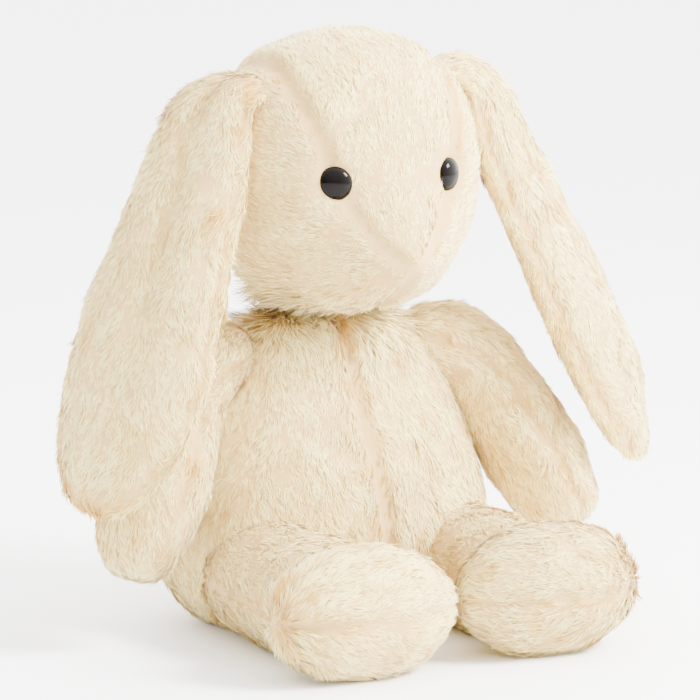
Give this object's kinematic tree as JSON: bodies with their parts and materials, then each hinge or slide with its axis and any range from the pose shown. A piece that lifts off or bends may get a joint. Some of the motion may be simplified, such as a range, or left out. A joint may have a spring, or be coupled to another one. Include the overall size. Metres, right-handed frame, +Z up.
{
  "type": "stuffed rabbit",
  "caption": "Seated plush rabbit with long hanging ears, pillow feet and glossy safety eyes; ears, arms, legs and head move at their seams.",
  "frame": {"origin": "middle of the flat seat, on the surface the toy sits on", "axes": "+Z up; the toy faces -Y; its right side is at -X"},
  "size_m": [0.3077, 0.2388, 0.276],
  "materials": {
    "pile_cream": "short combed pile, cream with warm roots",
    "pile_lining": "short combed pile, a little yellower",
    "fibre_fill": "loose polyester fibre",
    "pellet_pouch": "woven pouch of plastic pellets",
    "eye_gloss": "high gloss black",
    "washer_plastic": "plain moulded",
    "thread": "strong waxed thread"
  },
  "bodies": {
    "torso": {"torso_front_right": "pile_cream", "torso_front_left": "pile_cream", "torso_back_right": "pile_cream", "torso_back_left": "pile_cream", "seat_base": "pile_cream", "torso_stuffing": "fibre_fill", "pellet_bag": "pellet_pouch", "tail_cover": "pile_cream", "tail_stuffing": "fibre_fill"},
    "neck": {"neck_thread": "thread"},
    "head": {"head_gusset": "pile_cream", "head_cheek_right": "pile_cream", "head_cheek_left": "pile_cream", "head_stuffing": "fibre_fill", "eye_right": "eye_gloss", "eye_left": "eye_gloss", "eye_washer_right": "washer_plastic", "eye_washer_left": "washer_plastic"},
    "ear_right": {"ear_right_outer": "pile_cream", "ear_right_lining": "pile_lining", "ear_right_filling": "fibre_fill"},
    "arm_right": {"arm_right_outer": "pile_cream", "arm_right_inner": "pile_cream", "arm_right_stuffing": "fibre_fill"},
    "leg_right": {"leg_right_upper": "pile_cream", "leg_right_lower": "pile_cream", "leg_right_stuffing": "fibre_fill", "foot_right_upper": "pile_cream", "foot_right_sole": "pile_cream", "foot_right_stuffing": "fibre_fill"},
    "ear_left": {"ear_left_outer": "pile_cream", "ear_left_lining": "pile_lining", "ear_left_filling": "fibre_fill"},
    "arm_left": {"arm_left_outer": "pile_cream", "arm_left_inner": "pile_cream", "arm_left_stuffing": "fibre_fill"},
    "leg_left": {"leg_left_upper": "pile_cream", "leg_left_lower": "pile_cream", "leg_left_stuffing": "fibre_fill", "foot_left_upper": "pile_cream", "foot_left_sole": "pile_cream", "foot_left_stuffing": "fibre_fill"}
  },
  "joints": [
    {"name": "head_turn", "type": "hinge", "parent": "torso", "child": "neck", "pos_m": [0, -0.009, 0.148], "axis": [0, 0, 1], "range_deg": [-10, 10], "stiffness_Nm_per_rad": 0.3},
    {"name": "head_nod", "type": "hinge", "parent": "neck", "child": "head", "pos_m": [0, -0.009, 0.148], "axis": [1, 0, 0], "range_deg": [-6, 6], "stiffness_Nm_per_rad": 0.6},
    {"name": "ear_right_lift", "type": "hinge", "parent": "head", "child": "ear_right", "pos_m": [-0.043, -0.022, 0.2635], "axis": [0, 1, 0], "range_deg": [0, 110]},
    {"name": "arm_right_swing", "type": "hinge", "parent": "torso", "child": "arm_right", "pos_m": [-0.044, -0.005, 0.126], "axis": [-0.788, 0, 0.6157], "range_deg": [0, 45]},
    {"name": "leg_right_lift", "type": "hinge", "parent": "torso", "child": "leg_right", "pos_m": [-0.049, -0.058, 0.056], "axis": [-1, 0, 0], "range_deg": [0, 30]},
    {"name": "ear_left_lift", "type": "hinge", "parent": "head", "child": "ear_left", "pos_m": [0.043, -0.022, 0.2635], "axis": [0, -1, 0], "range_deg": [0, 110]},
    {"name": "arm_left_swing", "type": "hinge", "parent": "torso", "child": "arm_left", "pos_m": [0.044, -0.005, 0.126], "axis": [-0.788, 0, -0.6157], "range_deg": [0, 45]},
    {"name": "leg_left_lift", "type": "hinge", "parent": "torso", "child": "leg_left", "pos_m": [0.049, -0.058, 0.056], "axis": [-1, 0, 0], "range_deg": [0, 30]}
  ]
}
